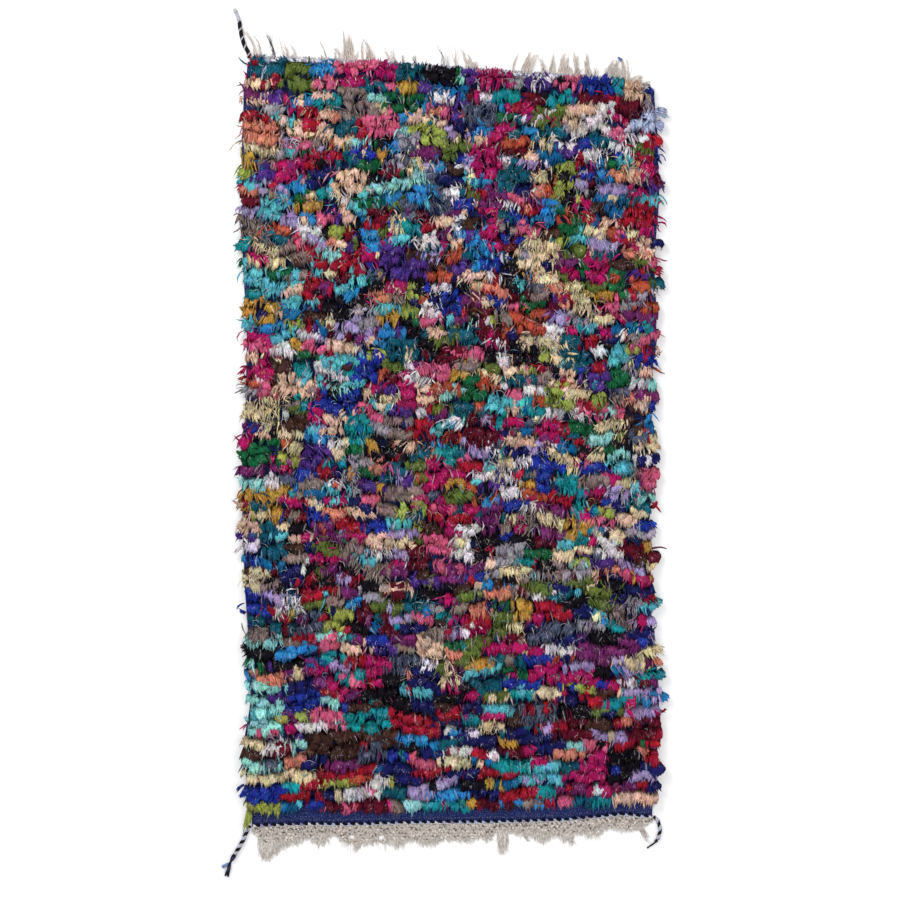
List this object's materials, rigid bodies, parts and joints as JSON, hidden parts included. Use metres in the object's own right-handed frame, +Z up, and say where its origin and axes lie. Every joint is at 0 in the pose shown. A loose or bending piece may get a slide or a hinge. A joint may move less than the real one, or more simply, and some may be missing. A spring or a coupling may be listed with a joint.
{
  "type": "shaggy rag rug",
  "caption": "Long shaggy rag rug laid flat, with rows of tied strips on a dark blue ground weave, twined end rows, warp fringes and corner braids.",
  "frame": {"origin": "middle of the rug's underside, measured without its corner braids", "axes": "+Y along the rug towards the loosely fringed end, +X across it, +Z up out of the pile"},
  "size_m": [1.1963, 2.3519, 0.035],
  "materials": {
    "blue_weave": "weft-faced flat weave in dark blue with a few pale flecks",
    "rag_pile": "soft torn strips of many colours, mostly crimson, teal, blue, cream and purple",
    "twined_cord": "black and pale blue yarn twined in chevrons",
    "undyed_warp": "undyed wool warp, knotted and frayed",
    "braid_cord": "black and pale blue yarn braided into a short rope",
    "grey_wrap": "pale grey yarn wrapped round the braid's end",
    "black_cord": "loose black yarn ends"
  },
  "bodies": {
    "root": {"ground_weave": "blue_weave", "pile": "rag_pile", "twining_bottom": "twined_cord", "twining_top": "twined_cord", "fringe_bottom": "undyed_warp", "fringe_top": "undyed_warp", "braid_top_left": "braid_cord", "braid_bottom_left": "braid_cord", "braid_bottom_right": "braid_cord", "wrapped_end_top_left": "grey_wrap", "tails_bottom_left": "black_cord", "tails_bottom_right": "black_cord"}
  },
  "joints": []
}
